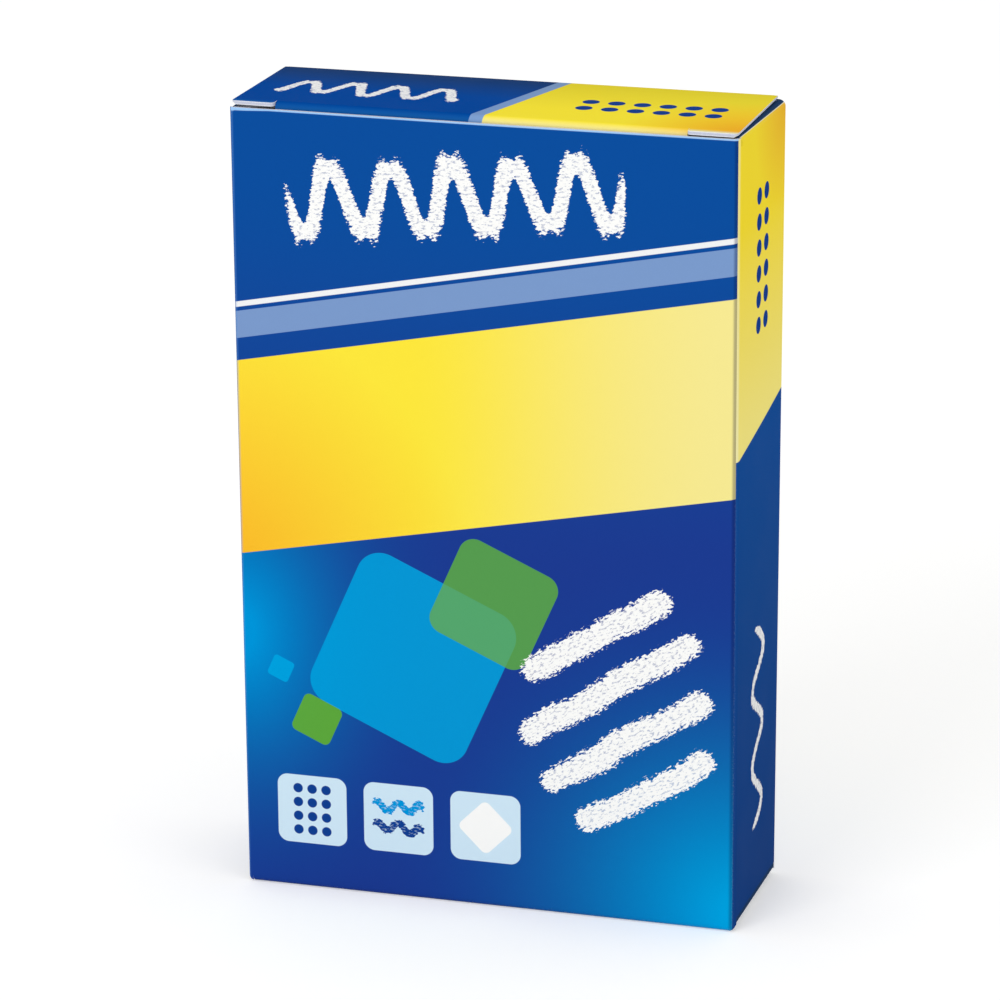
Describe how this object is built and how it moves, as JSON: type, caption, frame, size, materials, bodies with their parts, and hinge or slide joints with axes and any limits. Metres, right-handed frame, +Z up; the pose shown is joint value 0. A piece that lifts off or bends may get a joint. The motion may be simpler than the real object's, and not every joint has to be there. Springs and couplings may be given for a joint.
{
  "type": "box of marking crayons",
  "caption": "Upright folding board carton with hinged tuck-in lids and dust flaps at its ends, holding nested rows of round wax marking crayons in paper wrappers.",
  "frame": {"origin": "centre of the carton's base, on the surface it stands on", "axes": "+Z up along the crayons, -Y is the front panel, +X is to the right of someone who faces the front panel"},
  "size_m": [0.0754, 0.0246, 0.12],
  "materials": {
    "printed_board": "satin print on white board",
    "flap_board": "satin print on white board",
    "crayon_wax": "waxy",
    "wrapper_paper": "matt paper"
  },
  "bodies": {
    "carton": {"carton_sleeve": "printed_board"},
    "top_lid": {"top_lid": "printed_board"},
    "top_tuck": {"top_tuck_flap": "flap_board"},
    "top_dust_left": {"top_dust_flap_left": "flap_board"},
    "top_dust_right": {"top_dust_flap_right": "flap_board"},
    "bottom_lid": {"bottom_lid": "printed_board"},
    "bottom_tuck": {"bottom_tuck_flap": "flap_board"},
    "bottom_dust_left": {"bottom_dust_flap_left": "flap_board"},
    "bottom_dust_right": {"bottom_dust_flap_right": "flap_board"},
    "crayon_01": {"crayon_wax_01": "crayon_wax", "crayon_wrapper_01": "wrapper_paper"},
    "crayon_02": {"crayon_wax_02": "crayon_wax", "crayon_wrapper_02": "wrapper_paper"},
    "crayon_03": {"crayon_wax_03": "crayon_wax", "crayon_wrapper_03": "wrapper_paper"},
    "crayon_04": {"crayon_wax_04": "crayon_wax", "crayon_wrapper_04": "wrapper_paper"},
    "crayon_05": {"crayon_wax_05": "crayon_wax", "crayon_wrapper_05": "wrapper_paper"},
    "crayon_06": {"crayon_wax_06": "crayon_wax", "crayon_wrapper_06": "wrapper_paper"},
    "crayon_07": {"crayon_wax_07": "crayon_wax", "crayon_wrapper_07": "wrapper_paper"},
    "crayon_08": {"crayon_wax_08": "crayon_wax", "crayon_wrapper_08": "wrapper_paper"},
    "crayon_09": {"crayon_wax_09": "crayon_wax", "crayon_wrapper_09": "wrapper_paper"},
    "crayon_10": {"crayon_wax_10": "crayon_wax", "crayon_wrapper_10": "wrapper_paper"},
    "crayon_11": {"crayon_wax_11": "crayon_wax", "crayon_wrapper_11": "wrapper_paper"},
    "crayon_12": {"crayon_wax_12": "crayon_wax", "crayon_wrapper_12": "wrapper_paper"}
  },
  "joints": [
    {"name": "top_lid_hinge", "type": "hinge", "parent": "carton", "child": "top_lid", "pos_m": [0, 0.01243, 0.11895], "axis": [-1, 0, 0], "range_deg": [0, 175]},
    {"name": "top_tuck_hinge", "type": "hinge", "parent": "top_lid", "child": "top_tuck", "pos_m": [0, -0.01082, 0.11895], "axis": [1, 0, 0], "range_deg": [0, 52.5]},
    {"name": "top_dust_left_hinge", "type": "hinge", "parent": "carton", "child": "top_dust_left", "pos_m": [-0.03783, 0, 0.1181], "axis": [0, -1, 0], "range_deg": [0, 70]},
    {"name": "top_dust_right_hinge", "type": "hinge", "parent": "carton", "child": "top_dust_right", "pos_m": [0.03783, 0, 0.1181], "axis": [0, 1, 0], "range_deg": [0, 70]},
    {"name": "bottom_lid_hinge", "type": "hinge", "parent": "carton", "child": "bottom_lid", "pos_m": [0, -0.01243, 0.00105], "axis": [-1, 0, 0], "range_deg": [0, 175]},
    {"name": "bottom_tuck_hinge", "type": "hinge", "parent": "bottom_lid", "child": "bottom_tuck", "pos_m": [0, 0.01082, 0.00105], "axis": [1, 0, 0], "range_deg": [0, 52.5]},
    {"name": "bottom_dust_left_hinge", "type": "hinge", "parent": "carton", "child": "bottom_dust_left", "pos_m": [-0.03783, 0, 0.0019], "axis": [0, 1, 0], "range_deg": [0, 70]},
    {"name": "bottom_dust_right_hinge", "type": "hinge", "parent": "carton", "child": "bottom_dust_right", "pos_m": [0.03783, 0, 0.0019], "axis": [0, -1, 0], "range_deg": [0, 70]},
    {"name": "crayon_01_slide", "type": "slide", "parent": "carton", "child": "crayon_01", "axis": [0, 0, 1], "range_m": [0, 0.0035]},
    {"name": "crayon_02_slide", "type": "slide", "parent": "carton", "child": "crayon_02", "axis": [0, 0, 1], "range_m": [0, 0.0035]},
    {"name": "crayon_03_slide", "type": "slide", "parent": "carton", "child": "crayon_03", "axis": [0, 0, 1], "range_m": [0, 0.0035]},
    {"name": "crayon_04_slide", "type": "slide", "parent": "carton", "child": "crayon_04", "axis": [0, 0, 1], "range_m": [0, 0.0035]},
    {"name": "crayon_05_slide", "type": "slide", "parent": "carton", "child": "crayon_05", "axis": [0, 0, 1], "range_m": [0, 0.0035]},
    {"name": "crayon_06_slide", "type": "slide", "parent": "carton", "child": "crayon_06", "axis": [0, 0, 1], "range_m": [0, 0.0035]},
    {"name": "crayon_07_slide", "type": "slide", "parent": "carton", "child": "crayon_07", "axis": [0, 0, 1], "range_m": [0, 0.006]},
    {"name": "crayon_08_slide", "type": "slide", "parent": "carton", "child": "crayon_08", "axis": [0, 0, 1], "range_m": [0, 0.006]},
    {"name": "crayon_09_slide", "type": "slide", "parent": "carton", "child": "crayon_09", "axis": [0, 0, 1], "range_m": [0, 0.006]},
    {"name": "crayon_10_slide", "type": "slide", "parent": "carton", "child": "crayon_10", "axis": [0, 0, 1], "range_m": [0, 0.006]},
    {"name": "crayon_11_slide", "type": "slide", "parent": "carton", "child": "crayon_11", "axis": [0, 0, 1], "range_m": [0, 0.006]},
    {"name": "crayon_12_slide", "type": "slide", "parent": "carton", "child": "crayon_12", "axis": [0, 0, 1], "range_m": [0, 0.006]}
  ],
  "couplings": [
    {"joint": "top_tuck_hinge", "follows": "top_lid_hinge", "ratio": 0.3},
    {"joint": "top_dust_left_hinge", "follows": "top_lid_hinge", "ratio": 0.4},
    {"joint": "top_dust_right_hinge", "follows": "top_lid_hinge", "ratio": 0.4},
    {"joint": "bottom_tuck_hinge", "follows": "bottom_lid_hinge", "ratio": 0.3},
    {"joint": "bottom_dust_left_hinge", "follows": "bottom_lid_hinge", "ratio": 0.4},
    {"joint": "bottom_dust_right_hinge", "follows": "bottom_lid_hinge", "ratio": 0.4}
  ]
}
